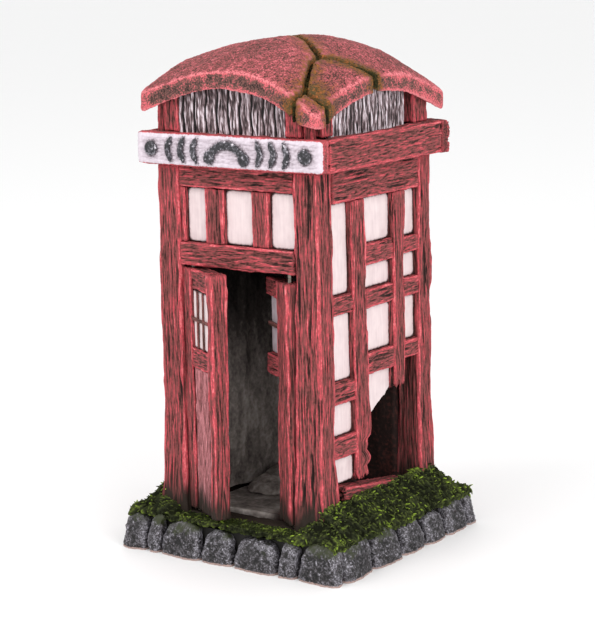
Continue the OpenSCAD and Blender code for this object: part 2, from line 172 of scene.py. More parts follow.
def boxes(node, space=Matrix()):
    """The box of each solid of a node, in millimetres, in a space that may be turned."""
    found = []
    for part in loose_copies(node):
        part.data.transform(space.inverted())
        co = points(part) / MM
        found.append((Vector(co.min(0)), Vector(co.max(0))))
        bpy.data.objects.remove(part)
    return sorted(found, key=lambda b: (round(b[0].x), round(b[0].y), b[0].z))


LEFT_OPEN = math.radians(-30)
RIGHT_OPEN = math.radians(180 - 35)
joint_at = {j["name"]: Vector(j["pos_m"]) for j in frame["joints"]}
left_pin, right_pin = joint_at["left_leaf_swing"], joint_at["right_leaf_swing"]
left_space = Matrix.Translation((left_pin.x, left_pin.y, 0)) @ Matrix.Rotation(LEFT_OPEN, 4, "Z")
right_space = Matrix.Translation((right_pin.x, right_pin.y, 0)) @ Matrix.Rotation(RIGHT_OPEN, 4, "Z")
print("right window rails:", len(boxes("right_window_rails")), "solids")

# %% [markdown]
# The carving textures are plain procedural noises. Hard clouds make round ridges with sharp valleys between
# them, as a gouge leaves them. Soft clouds bend a shape out of true. Cells give knobbly rock and matted
# moss.

# %% Carving textures
def noise(name, kind="CLOUDS", **settings):
    tex = bpy.data.textures.new(name, kind)
    for key, value in settings.items():
        setattr(tex, key, value)
    return tex


GOUGES = noise("gouges", noise_type="HARD_NOISE", noise_scale=1.0, noise_depth=1)
FIBRES = noise("fibres", noise_type="HARD_NOISE", noise_scale=1.0, noise_depth=2)
BENDS = noise("bends", noise_scale=1.0, noise_depth=1)
LUMPS = noise("lumps", noise_scale=1.0, noise_depth=3)
CELLS = noise("cells", "VORONOI", noise_scale=1.0, distance_metric="DISTANCE")
SPLITS = noise("splits", noise_scale=1.0, noise_depth=1, use_color_ramp=True)
ramp = SPLITS.color_ramp
ramp.elements[0].position = 0.60
ramp.elements[0].color = (0, 0, 0, 1)
ramp.elements[1].position = 0.70
ramp.elements[1].color = (1, 1, 1, 1)


def weigh(obj, weights):
    """A vertex group from one weight per point, in steps of a tenth."""
    group = obj.vertex_groups.new(name="where")
    steps = np.round(np.clip(weights, 0, 1) * 10).astype(int)
    for step in range(1, 11):
        group.add(np.nonzero(steps == step)[0].tolist(), step / 10, "REPLACE")
    return group.name


def carve(obj, tex, depth, waves, seed, middle=0.5, turn=0.0, along="NORMAL", where=None):
    """Displaces by a texture. depth and waves are millimetres; waves stretch the noise along each axis.
    where is one weight per point, for a pass that acts only there."""
    if not depth:
        return
    group = "" if where is None else weigh(obj, where)
    rng = random.Random(seed)
    probe.location = [rng.uniform(-9, 9) for _ in range(3)]
    probe.scale = [w * MM for w in waves]
    probe.rotation_euler = (0, turn, 0)
    bpy.context.view_layer.update()
    finish_modifier(obj, "DISPLACE", texture=tex, texture_coords="OBJECT", texture_coords_object=probe,
                    strength=depth * MM, mid_level=middle, direction=along, vertex_group=group)
    obj.vertex_groups.clear()


# %% [markdown]
# Dry-brushing leaves paint on what stands proud. To paint that way, each piece stores how far every point
# stands out from its own surroundings: the mesh is blurred by averaging neighbours, and the distance from
# the blurred surface is kept. Ridges and edges come out positive, grooves negative.

# %% How far each point stands proud
def blurred(co, edges, rounds):
    a, b = edges[:, 0], edges[:, 1]
    count = np.maximum(np.bincount(np.concatenate((a, b)), minlength=len(co)), 1)
    for _ in range(rounds):
        total = np.stack([np.bincount(a, co[b, k], len(co)) + np.bincount(b, co[a, k], len(co))
                          for k in range(3)], axis=1)
        co = 0.5 * co + 0.5 * total / count[:, None]
    return co


def measure_proud(obj, rounds=14, most=9.0):
    edges = np.empty(len(obj.data.edges) * 2, np.int32)
    obj.data.edges.foreach_get("vertices", edges)
    co = points(obj).astype(float)
    away = co - blurred(co, edges.reshape(-1, 2), rounds)
    keep(obj, "proud", np.minimum((away * normals(obj)).sum(1) / MM, most))


# %% [markdown]
# A timber starts as a cube at its real size. Its long arrises are bevelled, then the edges along each axis
# are cut on their own, so that the faces are fine across the grain and coarse along it, where nothing
# changes fast. Five passes carve it: a slow bend, lobes along the arrises, gouges, fine fibres and a few
# deep splits.

# %% Making one blank
ACROSS = 0.26
ALONG = 0.85


def cut_along(axis, spacing, size):
    """Cuts all edges that run along one axis into pieces of about this length."""
    cuts = int(round(size / spacing)) - 1
    if cuts < 1:
        return
    ops.mesh.select_all(action="DESELECT")
    done()
    co = points(bpy.context.object)
    for e in bpy.context.object.data.edges:
        d = np.abs(co[e.vertices[0]] - co[e.vertices[1]])
        e.select = bool(d[axis] > 0.5 * size * MM and d.sum() < 1.02 * d[axis])
    ops.object.mode_set(mode="EDIT")
    ops.mesh.subdivide(number_cuts=cuts)


def blank(size, spacing, round_off, segments=2, most=0.3):
    """A bevelled, finely cut block centred on the origin. Sizes in mm, one spacing for each axis."""
    ops.mesh.primitive_cube_add(size=1, location=(0, 0, 0))
    obj = bpy.context.object
    obj.scale = [s * MM for s in size]
    settle(obj)
    edit()
    round_off = min(round_off, most * min(size))
    ops.mesh.bevel(offset=round_off * MM, segments=segments, profile=0.6, affect="EDGES")
    for axis in (2, 0, 1):
        cut_along(axis, spacing[axis], size[axis] - 2 * round_off)
    done()
    return obj


# %% Making one timber
def timber(size, seed, bend=0.7, lobes=0.4, gouge=0.7, fibre=0.3, split=0.7, wave=12, round_off=0.5,
           frayed=(0, 0), dark_ends=True):
    """A carved timber with its length along Z. frayed is how deep each end is broken, in mm."""
    obj = blank(size, (ACROSS, ACROSS, ALONG), round_off)
    rng = random.Random(seed)
    tilt = rng.uniform(-0.02, 0.02)
    co = points(obj) / MM
    keep(obj, "grain", co + [rng.uniform(0, 400) for _ in range(3)])
    inside = np.array(size) / 2 - np.abs(co)
    arris = np.clip(1.15 - inside[:, :2].max(1), 0, 1)
    keep(obj, "arris", arris)
    # Painted shade at both ends of the timber, where it meets its neighbours.
    keep(obj, "shade", np.clip(1 - inside[:, 2] / 1.3, 0, 1) * (0.75 if dark_ends else 0))
    for i, depth in enumerate(frayed):
        if depth:
            level = size[2] * (i - 0.5)
            carve(obj, FIBRES, depth * (1 - 2 * i), (1.6, 1.6, 60), seed + 7 + i, 0.0, along="Z",
                  where=1 - np.abs(co[:, 2] - level) / 5)
    carve(obj, BENDS, bend, (8, 8, 22), seed)
    carve(obj, LUMPS, lobes, (1.7, 1.7, 3.6), seed + 4, 0.45, where=arris)
    carve(obj, GOUGES, gouge, (1.0, 1.0, wave), seed + 1, 0.3, tilt)
    carve(obj, FIBRES, fibre, (0.62, 0.62, wave / 2.4), seed + 2, 0.35, tilt)
    if split:
        carve(obj, SPLITS, -split, (2.4, 2.4, 24), seed + 3, 0.0, tilt)
    measure_proud(obj, 7, 0.09)
    return obj


# %% [markdown]
# The reveals beside a pane are dark brown: a brush held flat never reaches them, and painted shade there
# deepens with depth. How deep a point lies behind the outer face is known from the box: it is measured
# along each outward direction, and the smallest counts.

# %% Placing a timber in its box
TURN_TO = {"X": Matrix.Rotation(math.pi / 2, 4, "Y"),
           "Y": Matrix.Rotation(-math.pi / 2, 4, "X"),
           "Z": Matrix()}
REVEAL_FROM = 0.9
REVEAL_TO = 3.0


def depth_behind(co, low, high, outward):
    """How many mm each point lies behind the nearest outer face, such as -Y or +X."""
    depths = []
    for direction in outward:
        axis = "XYZ".index(direction[1])
        depths.append(high[axis] - co[:, axis] if direction[0] == "+" else co[:, axis] - low[axis])
    return np.min(depths, axis=0)


def in_space(obj, space):
    inverse = np.array(space.inverted())
    return (points(obj) @ inverse[:3, :3].T + inverse[:3, 3]) / MM


def timber_in(box, grain, seed, space=Matrix(), grow=(0, 0, 0), lean=Matrix(), outward=(), **how):
    """A timber that fills a box, its grain along an axis of the space."""
    low, high = box[0] - Vector(grow), box[1] + Vector(grow)
    size = high - low
    local = {"X": (size.z, size.y, size.x), "Y": (size.x, size.z, size.y), "Z": tuple(size)}[grain]
    obj = timber(local, seed, **how)
    settle(obj, space @ Matrix.Translation((low + high) / 2 * MM) @ lean @ TURN_TO[grain])
    if outward:
        # Painted shade in the reveals: the deeper a point lies behind the outer face, the darker.
        depth = depth_behind(in_space(obj, space), low, high, outward)
        deep = (depth - REVEAL_FROM) / (REVEAL_TO - REVEAL_FROM)
        keep(obj, "shade", np.maximum(kept(obj, "shade"), np.clip(deep, 0, 1)))
    return obj


# %% [markdown]
# Pieces with a free outline, such as the vaulted roof or a broken pane, keep the outline of their solid. A
# copy of the solid is remeshed into small even faces, smoothed until its edges are as soft as cast resin,
# and then carved.

# %% Reshaping a copy of a solid
def refined(obj, voxel, smooth=3):
    finish_modifier(obj, "REMESH", mode="VOXEL", voxel_size=voxel * MM)
    if smooth:
        finish_modifier(obj, "SMOOTH", factor=0.5, iterations=smooth)
    return obj


# %% [markdown]
# The paint is built from the same idea that the painter used. A dark brown wash is everywhere, a dusty red
# covers most of it, and coral sits on ridges and arrises. Colours are given as hex values, as they look on
# screen, and one function turns them into the linear light values that a shader works in.

# %% Colours and nodes
def colour(hex_value, alpha=1.0):
    out = []
    for i in (1, 3, 5):
        c = int(hex_value[i:i + 2], 16) / 255
        out.append(c / 12.92 if c <= 0.04045 else ((c + 0.055) / 1.055) ** 2.4)
    return (*out, alpha)


def add(tree, kind, links=(), **settings):
    """Adds one node. links join its inputs to other nodes' outputs; other values set inputs or properties."""
    node = tree.nodes.new(kind)
    for key, value in settings.items():
        if hasattr(node, key):
            setattr(node, key, value)
        else:
            node.inputs[key.replace("_", " ")].default_value = value
    for socket, source in links:
        tree.links.new(source, node.inputs[socket])
    return node


def material(name, roughness=0.7, specular=0.3):
    mat = bpy.data.materials.new(name)
    mat.use_nodes = True
    tree = mat.node_tree
    shader = tree.nodes["Principled BSDF"]
    shader.inputs["Roughness"].default_value = roughness
    shader.inputs["Specular IOR Level"].default_value = specular
    return mat, tree, shader


def paint_ramp(tree, source, stops):
    node = add(tree, "ShaderNodeValToRGB", [("Fac", source)])
    els = node.color_ramp.elements
    while len(els) < len(stops):
        els.new(0.5)
    for el, (at, hex_value) in zip(els, stops):
        el.position = at
        el.color = colour(hex_value)
    return node.outputs["Color"]


def sum_of(tree, terms, start=0.0):
    """start + weight * socket for each term, as a chain of multiply-add nodes."""
    total = None
    for socket, weight in terms:
        node = add(tree, "ShaderNodeMath", [(0, socket)], operation="MULTIPLY_ADD")
        node.inputs[1].default_value = weight
        if total is None:
            node.inputs[2].default_value = start
        else:
            tree.links.new(total, node.inputs[2])
        total = node.outputs[0]
    return total


def fade(tree, source, low, high):
    """0 below low, 1 above high, smooth between them; low may be the larger."""
    node = add(tree, "ShaderNodeMapRange", [("Value", source)], interpolation_type="SMOOTHSTEP")
    node.inputs["From Min"].default_value = min(low, high)
    node.inputs["From Max"].default_value = max(low, high)
    node.inputs["To Min"].default_value = 0.0 if low < high else 1.0
    node.inputs["To Max"].default_value = 1.0 if low < high else 0.0
    return node.outputs["Result"]


def over(tree, base, top, mask):
    """Paints one colour over another. top may be a hex value or a socket."""
    node = add(tree, "ShaderNodeMix", [("Factor", mask), (6, base)], data_type="RGBA")
    if isinstance(top, str):
        node.inputs[7].default_value = colour(top)
    else:
        tree.links.new(top, node.inputs[7])
    return node.outputs[2]


def read(tree, name, output="Fac"):
    return add(tree, "ShaderNodeAttribute", attribute_name=name).outputs[output]


def place_in(tree):
    return add(tree, "ShaderNodeTexCoord").outputs["Object"]


def along_axis(tree, axis="Z"):
    return add(tree, "ShaderNodeSeparateXYZ", [("Vector", place_in(tree))]).outputs[axis]


def noise_of(tree, vector, waves, detail=2.0):
    """Noise whose features have these lengths, in the vector's own unit."""
    mapped = add(tree, "ShaderNodeMapping", [("Vector", vector)])
    mapped.inputs["Scale"].default_value = [1 / w for w in waves]
    node = add(tree, "ShaderNodeTexNoise", [("Vector", mapped.outputs[0])], Scale=1.0, Detail=detail)
    return node.outputs["Fac"]


def even_noise(tree, size_mm, detail=2.0):
    return noise_of(tree, place_in(tree), [size_mm * MM] * 3, detail)


def finish_shader(tree, shader, paint, height=None, strength=0.5, distance_mm=0.15):
    tree.links.new(paint, shader.inputs["Base Color"])
    if height is not None:
        node = add(tree, "ShaderNodeBump", [("Height", height)])
        node.inputs["Strength"].default_value = strength
        node.inputs["Distance"].default_value = distance_mm * MM
        tree.links.new(node.outputs[0], shader.inputs["Normal"])


# %% [markdown]
# Painted resin timber: cast polyester resin with matte acrylic paint. Carved grain runs along each member,
# so the fine streaks read the piece's own grain coordinates and turn with it. It is brightest on the
# arrises, painted shade darkens the reveals and the joints, and near the moss a dark wash climbs the wood.

# %% Material: dry-brushed timber
SHADE_STRENGTH = 0.5


def timber_paint(tree, stops):
    """The paint of the wood and the height of its fibres."""
    grain = read(tree, "grain", "Vector")
    proud = read(tree, "proud")
    fine = noise_of(tree, grain, (0.27, 0.27, 4.5), 3)
    broad = noise_of(tree, grain, (3.5, 3.5, 14), 2)
    speckle = noise_of(tree, grain, (0.55, 0.55, 0.9), 2)
    arris = read(tree, "arris")
    worn = add(tree, "ShaderNodeMath", [(0, arris), (1, speckle)], operation="MULTIPLY").outputs[0]
    tone = sum_of(tree, [(proud, 2.5), (fine, 1.25), (broad, 0.4), (speckle, 0.45), (worn, 0.26)], -0.56)
    paint = paint_ramp(tree, tone, stops)
    # Painted shade: dark brown over the reveals and the timber ends, from the stored shade.
    shade = sum_of(tree, [(read(tree, "shade"), 1.0), (speckle, 0.5)], -0.22)
    paint = over(tree, paint, "#35231f", sum_of(tree, [(fade(tree, shade, 0.15, 0.85), SHADE_STRENGTH)]))
    foot = sum_of(tree, [(along_axis(tree), -1 / (9 * MM)), (broad, 1.6), (proud, -1.5), (speckle, 0.5)], 2.25)
    paint = over(tree, paint, "#2b221c", fade(tree, foot, 0.3, 1.5))
    return paint, sum_of(tree, [(fine, 0.7), (speckle, 0.3)])


def timber_material(name, stops):
    mat, tree, shader = material(name, roughness=0.74, specular=0.22)
    finish_shader(tree, shader, *timber_paint(tree, stops), 0.55, 0.16)
    return mat


RED_STOPS = [(0.0, "#1b0f0d"), (0.22, "#3f211e"), (0.4, "#683835"), (0.54, "#834344"), (0.67, "#9c4548"),
             (0.8, "#bb4851"), (0.92, "#d2565f"), (1.0, "#df7a7d")]
RED_WOOD = timber_material("dry_brushed_red_timber", RED_STOPS)
PINK_WOOD = timber_material("pale_pink_panel_timber", [
    (0.0, "#2a1716"), (0.2, "#5b3634"), (0.4, "#8a5254"), (0.6, "#a96a6e"), (0.8, "#c98186"), (1.0, "#e0a3a6")])
DARK_BAR = timber_material("umber_glazing_bar", [
    (0.0, "#1a1210"), (0.4, "#3a2824"), (0.7, "#5d3d38"), (1.0, "#8a5350")])

# %% [markdown]
# The four corner posts come first. The post by the camera is the broadest, and its arris flares where it
# meets the ground, so each foot is spread outwards a little. Every piece built is handed in to the frame:
# which body it rides on, which solid it takes the place of, and which finish it carries.

# %% Handing a piece in
def hand_in(obj, nodes, mat, body="booth"):
    obj.data.materials.clear()
    obj.data.materials.append(mat)
    work_on(obj)
    ops.object.shade_smooth()
    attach(obj, body)
    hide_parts(*nodes)
    print(f"{obj.name}: {len(obj.data.polygons)} faces")
    return obj


def timbers(node, grain, seed, outward=(), slot="weathered_red_timber", mat=RED_WOOD, space=Matrix(),
            body="booth", **how):
    """One carved timber for each solid of a node, joined into one piece."""
    parts = [timber_in(b, grain, seed + 10 * i, space, outward=outward, **how)
             for i, b in enumerate(boxes(node, space))]
    return hand_in(joined(node + "_carved", parts), [node], mat, body)


# %% Corner posts
FLARE_FROM = 48 * MM
FLARE_TO = 12 * MM


def flare(obj, centre, amount_mm):
    """Spreads a post's foot outwards."""
    co = points(obj)
    rise = np.clip((FLARE_FROM - co[:, 2]) / (FLARE_FROM - FLARE_TO), 0, 1) ** 2
    co[:, :2] += (co[:, :2] - np.array(centre[:2]) * MM) * (rise * amount_mm / 4)[:, None]
    set_points(obj, co)


posts = {"front_left": ("-X", "-Y"), "front_right": ("+X", "-Y"),
         "back_left": ("-X", "+Y"), "back_right": ("+X", "+Y")}
for i, (corner, outward) in enumerate(posts.items()):
    node = "corner_post_" + corner
    box = boxes(node)[0]
    post = timber_in(box, "Z", 11 + i, outward=outward, bend=0.9, gouge=0.75, fibre=0.36, split=0.45, wave=20,
                     round_off=0.8, dark_ends=False)
    flare(post, (box[0] + box[1]) / 2, 1.2)
    post.name = node + "_carved"
    hand_in(post, [node], RED_WOOD)

# %% [markdown]
# Rails, mullions and bars are all timbers in the boxes of their nodes. Grain runs along a member's length:
# across the booth in the front rails, along Y in the side rails, upright in bars and mullions. Rails were
# carved with short strokes, uprights with long ones.

# %% Rails and bars of the walls
rail = dict(bend=0.6, gouge=0.55, fibre=0.32, split=0.4, wave=6)
bar = dict(bend=0.6, gouge=0.7, fibre=0.34, split=0.3, wave=17, lobes=0.5)
timbers("front_head_rail", "X", 101, ["-Y"], **rail)
timbers("transom_rail", "X", 102, ["-Y"], **{**rail, "bend": 1.0})
timbers("transom_mullions", "Z", 103, ["-Y"], **bar)
timbers("door_sill", "X", 104, ["-Y"], **rail)
timbers("right_head_rail", "Y", 105, ["+X"], **rail)
timbers("right_rear_bar", "Z", 107, ["+X"], frayed=(5, 0), **bar)
timbers("right_window_rails", "Y", 108, ["+X"], grow=(0, 0.5, 0), **rail)
timbers("left_head_rail", "Y", 109, ["-X"], **rail)
timbers("left_window_bars", "Z", 110, ["-X"], **bar)
timbers("left_window_rails", "Y", 111, ["-X"], grow=(0, 0.4, 0), **rail)
timbers("back_planks", "Z", 112, ["+Y"], **bar)
timbers("back_rails", "X", 113, ["+Y"], **rail)

# %% [markdown]
# The front bar of the right wall leans and its foot is broken. A straight timber is turned by that lean
# about the X axis, its foot is narrowed where a strip has split away, and its lower end is frayed.

# %% The leaning bar and the fallen plank
LEAN = math.atan(0.0288)
BAR_WIDTH = 7.9
SPLIT_AWAY_BELOW = 41 * MM
low, high = boxes("right_front_bar")[0]
mid_y = (low.y + high.y) / 2
leaning_box = (Vector((low.x, mid_y - BAR_WIDTH / 2, low.z)), Vector((high.x, mid_y + BAR_WIDTH / 2, high.z)))
leaning = timber_in(leaning_box, "Z", 120, lean=Matrix.Rotation(LEAN, 4, "X"), frayed=(5, 0), outward=["+X"],
                    **bar)
co = points(leaning)
split = np.clip((SPLIT_AWAY_BELOW - co[:, 2]) / (2.5 * MM), 0, 1)
rear = np.clip((co[:, 1] / MM - (mid_y - 1.5)) / 3, 0, 1)
height = co[:, 2] / MM
torn = 1.7 + 0.7 * np.sin(height / 0.83 + 1) * np.sin(height / 2.9) + 0.5 * np.sign(np.sin(height / 1.37))
co[:, 1] -= split * rear * torn * MM
set_points(leaning, co)
hand_in(named("right_front_bar_carved", leaning), ["right_front_bar"], RED_WOOD)

low, high = boxes("right_sill_plank")[0]
FALL = math.atan2(-4.6, 36)
mid_z = (low.z + high.z) / 2
fallen_box = (Vector((low.x, low.y, mid_z - 2.6)), Vector((high.x + 0.6, high.y, mid_z + 1.6)))
fallen = timber_in(fallen_box, "Y", 121, lean=Matrix.Rotation(FALL, 4, "X"), frayed=(3, 5), **rail)
hand_in(named("right_sill_plank_carved", fallen), ["right_sill_plank"], RED_WOOD)

# %% [markdown]
# The two leaves are joinery in their own right: stiles, rails, a panel and small glazing bars. They stand
# open, so their timbers are built in the space of the leaf and ride on its body, and each turns with it
# about its wire pins.

# %% The leaves
left = dict(space=left_space, body="left_leaf")
right_leaf = dict(space=right_space, body="right_leaf")
timbers("left_leaf_hinge_stile", "Z", 201, ["-Y"], **left, **bar)
timbers("left_leaf_free_stile", "Z", 202, ["-Y", "+X"], **left, **{**bar, "bend": 0.8, "round_off": 0.7})
timbers("left_leaf_rails", "X", 203, ["-Y"], **left, **rail)
timbers("left_leaf_panel", "Z", 204, ["-Y"], "pink_panel_timber", PINK_WOOD, **left, **bar)
thin = dict(bend=0.12, gouge=0.12, fibre=0.1, split=0, lobes=0.1, round_off=0.2)
low, high = boxes("left_leaf_glazing_bars", left_space)[0]
middle = (low.z + high.z) / 2
third = (high.x - low.x) / 3
cross_bar = (Vector((low.x, low.y, middle - 0.5)), Vector((high.x, high.y, middle + 0.5)))
lattice = [timber_in(cross_bar, "X", 205, left_space, **thin)]
for i in (1, 2):
    at = low.x + i * third
    upright = (Vector((at - 0.35, low.y + 0.1, low.z)), Vector((at + 0.35, high.y, high.z)))
    lattice.append(timber_in(upright, "Z", 205 + i, left_space, **thin))
lattice = joined("left_leaf_lattice", lattice)
hand_in(lattice, ["left_leaf_glazing_bars"], DARK_BAR, "left_leaf")
timbers("right_leaf_hinge_stile", "Z", 211, ["+Y", "+X"], **right_leaf, **{**bar, "bend": 0.8})
timbers("right_leaf_rails", "X", 213, ["+Y"], **right_leaf, **rail)
timbers("right_leaf_glazing_bar", "X", 214, slot="dark_glazing_bar", mat=DARK_BAR, **right_leaf, **thin)
timbers("right_leaf_splinters", "X", 215, ["+Y"], frayed=(0, 1), **right_leaf, **rail)

# %% [markdown]
# The fascia is four boards. The front one is the sign: its face was painted lilac-white over the red, its
# edges were not, so the white is a mask on points that face forwards and lie a little inside the outline.

# %% Material: the sign board
def sign_material():
    mat, tree, shader = material("chalky_lilac_white_sign_paint", roughness=0.66, specular=0.25)
    wood, height = timber_paint(tree, RED_STOPS)
    speckle = even_noise(tree, 0.9, 3)
    brushed = even_noise(tree, 4, 2)
    tone = sum_of(tree, [(read(tree, "proud"), 2.6), (speckle, 0.55), (brushed, 0.35)], 0.1)
    white = paint_ramp(tree, tone, [(0.0, "#4b4247"), (0.22, "#85787f"), (0.37, "#ad9fa8"), (0.55, "#c3b6bf"),
                                    (0.8, "#d6cad3"), (1.0, "#e4dae2")])
    smudge = sum_of(tree, [(read(tree, "near_mark"), 1.0), (even_noise(tree, 0.7, 3), 1.3)], -0.85)
    white = over(tree, white, "#5d5258", fade(tree, smudge, 0.1, 0.75))
    mask = fade(tree, sum_of(tree, [(read(tree, "sign_face"), 1.0), (speckle, 0.5)], -0.25), 0.3, 0.5)
    finish_shader(tree, shader, over(tree, wood, white, mask), height, 0.35, 0.12)
    return mat


SIGN_WHITE = sign_material()

# %% Fascia boards
def tree_of(co):
    found = KDTree(len(co))
    for i, p in enumerate(co):
        found.insert(p, i)
    found.balance()
    return found


marks = refined(copy_of("sign_marks"), 0.2, 4)
near_mark = tree_of(points(marks)[::2])
sign_box = boxes("fascia_front")[0]
sign = timber_in(sign_box, "X", 301, bend=0.8, gouge=0.34, fibre=0.24, split=0, wave=5, round_off=1.3,
                 dark_ends=False)
co = points(sign) / MM
facing = np.clip(-normals(sign)[:, 1] * 3 - 1.2, 0, 1)
within = np.minimum(co[:, 2] - sign_box[0].z, sign_box[1].z - co[:, 2])
keep(sign, "sign_face", facing * np.clip(within / 0.9, 0, 1))
keep(sign, "near_mark", [math.exp(-near_mark.find(p)[2] / (0.9 * MM)) for p in points(sign)])
hand_in(named("fascia_front_painted", sign), ["fascia_front"], SIGN_WHITE)
board = dict(bend=0.8, gouge=0.6, fibre=0.34, split=0.5, wave=8, round_off=0.7, dark_ends=False)
timbers("fascia_right", "Y", 302, ["+X"], **board)
timbers("fascia_back", "X", 303, ["+Y"], **board)
timbers("fascia_left", "Y", 304, ["-X"], **board)

# %% Material and shape: the marks on the sign
def rubbed_black():
    """Charcoal acrylic on raised marks, rubbed back to grey where fingers and brush touched it."""
    mat, tree, shader = material("rubbed_charcoal_acrylic", roughness=0.5, specular=0.4)
    flecks = even_noise(tree, 0.8, 3)
    tone = sum_of(tree, [(read(tree, "proud"), 2.2), (flecks, 1.5), (even_noise(tree, 2.6), 0.5)], -0.52)
    paint = paint_ramp(tree, tone, [(0.0, "#151417"), (0.4, "#2a292d"), (0.62, "#47454b"), (0.8, "#8d8890"),
                                    (1.0, "#d6cfd6")])
    finish_shader(tree, shader, paint)
    return mat


carve(marks, LUMPS, 0.8, (1.4, 1.4, 1.4), 310)
measure_proud(marks, 6)
marks.name = "sign_marks_cast"
hand_in(marks, ["sign_marks"], rubbed_black())

# %% [markdown]
# Panes are cast slabs painted a warm off-white. The painter cut in round each one with a brush, which left
# rounded corners and a dark uneven line. That line is a distance from a rounded rectangle, kept on every
# point of the slab.

# %% Material: panes
def pane_material(name, stops, line="#3d2d2a"):
    mat, tree, shader = material(name, roughness=0.42, specular=0.4)
    strokes = noise_of(tree, place_in(tree), [0.9 * MM, 0.9 * MM, 9 * MM], 2)
    cloud = even_noise(tree, 3, 2)
    tone = sum_of(tree, [(strokes, 0.7), (cloud, 0.5), (read(tree, "proud"), 1.0)], -0.1)
    paint = paint_ramp(tree, tone, stops)
    wobble = even_noise(tree, 1.1, 3)
    inset = sum_of(tree, [(read(tree, "inset"), 1.0), (wobble, -0.9)], 0.45)
    paint = over(tree, paint, "#a08d90", fade(tree, inset, 1.0, 0.35))
    paint = over(tree, paint, line, fade(tree, inset, 0.55, 0.25))
    finish_shader(tree, shader, paint, strokes, 0.25, 0.08)
    return mat


IVORY_PANE = pane_material("off_white_enamel_pane", [
    (0.0, "#bba9aa"), (0.3, "#d3c1c2"), (0.6, "#e0cfcf"), (1.0, "#e9dcda")])
GREY_PANE = pane_material("lilac_grey_enamel_pane", [
    (0.0, "#85767b"), (0.35, "#b3a4aa"), (0.7, "#cfc3c9"), (1.0, "#e2d9dd")])

# %% Panes
CORNER = 2.2


def rounded_inset(u, v, low_u, high_u, low_v, high_v, corner=CORNER):
    """How far inside a rounded rectangle each point lies, in mm."""
    half_u, half_v = (high_u - low_u) / 2, (high_v - low_v) / 2
    corner = min(corner, half_u, half_v)
    du = np.abs(u - (low_u + high_u) / 2) - half_u + corner
    dv = np.abs(v - (low_v + high_v) / 2) - half_v + corner
    outside = np.hypot(np.maximum(du, 0), np.maximum(dv, 0))
    return corner - outside - np.minimum(np.maximum(du, dv), 0)


def panes(node, thin_axis, mat=IVORY_PANE, space=Matrix(), body="booth", corner=CORNER, seed=400):
    """Remeshes each pane of a node; thin_axis is 0 or 1 in the leaf's or the booth's space."""
    parts = []
    for i, obj in enumerate(loose_copies(node)):
        refined(obj, 0.34, 2)
        obj.data.transform(space.inverted())
        size = np.ptp(points(obj), axis=0)
        whole = 2 * size[1 - thin_axis] * size[2]
        broken = sum(f.area for f in obj.data.polygons if abs(f.normal[thin_axis]) > 0.8) < 0.85 * whole
        depth, wave = (3.2, 2.2) if broken else (0.7, 1.3)
        narrow_sides = 1 - np.abs(normals(obj)[:, thin_axis])
        carve(obj, LUMPS, depth, [wave] * 3, seed + i, where=narrow_sides)
        carve(obj, BENDS, 0.35, (5, 5, 8), seed + i)
        co = points(obj) / MM
        low, high = co.min(0), co.max(0)
        u = 1 - thin_axis
        keep(obj, "inset", rounded_inset(co[:, u], co[:, 2], low[u], high[u], low[2], high[2], corner))
        measure_proud(obj, 6)
        obj.data.transform(space)
        parts.append(obj)
    hand_in(joined(node + "_cast", parts), [node], mat, body)


panes("transom_panes", 1, seed=401)
panes("right_panes", 0, seed=411)
panes("left_panes", 0, seed=431)
panes("left_leaf_panes", 1, space=left_space, body="left_leaf", corner=0.6, seed=451)
panes("right_leaf_panes", 1, GREY_PANE, right_space, "right_leaf", 1.0, 461)

# %% [markdown]
# The clerestory is ribbed like old plaster on laths: close wavy ridges, with a deeper groove between
# boards. It was washed charcoal and dry-brushed silver. Its slabs stop under the vault, whose underside is
# part of a sphere.

# %% Clerestory
BOARD_PITCH = 4.4
VAULT_CENTRE = (-3.5, 1, 91.4)
VAULT_INSIDE = 68.7


def ribbed_material():
    """Matte charcoal wash under a silver-lilac dry brush."""
    mat, tree, shader = material("silver_brushed_charcoal_ribs", roughness=0.62, specular=0.3)
    grain = read(tree, "grain", "Vector")
    fine = noise_of(tree, grain, (0.27, 0.27, 3.6), 3)
    broad = noise_of(tree, grain, (5, 5, 6), 2)
    tone = sum_of(tree, [(read(tree, "proud"), 2.2), (fine, 2.0), (broad, 0.7)], -0.93)
    paint = paint_ramp(tree, tone, [(0.0, "#140f10"), (0.27, "#34282a"), (0.48, "#5f4d50"), (0.64, "#8b797d"),
                                    (0.8, "#bcacb2"), (1.0, "#e6dbe2")])
    finish_shader(tree, shader, paint, fine, 0.5, 0.15)
    return mat


def ribbed_slab(box, outward, seed):
    thin = "XYZ".index(outward[1])
    obj = timber_in(box, "Z", seed, grow=(0, 0, 1), bend=0.5, lobes=0, gouge=0.7, fibre=0.4, split=0, wave=9,
                    dark_ends=False)
    co = points(obj) / MM
    along = co[:, 1 - thin] + 0.22 * np.sin(co[:, 2] / 1.7 + seed)
    groove = np.exp(-(((along / BOARD_PITCH) % 1 - 0.5) * BOARD_PITCH / 0.42) ** 2)
    inwards = -1 if outward[0] == "+" else 1
    face = np.clip(-inwards * normals(obj)[:, thin] * 2 - 0.5, 0, 1)
    co[:, thin] += inwards * 1.1 * groove * face
    across = np.hypot(co[:, 0] - VAULT_CENTRE[0], co[:, 1] - VAULT_CENTRE[1])
    ceiling = VAULT_CENTRE[2] + np.sqrt(VAULT_INSIDE ** 2 - across ** 2)
    co[:, 2] = np.minimum(co[:, 2], ceiling + 2.0)
    set_points(obj, co * MM)
    measure_proud(obj, 7)
    return obj


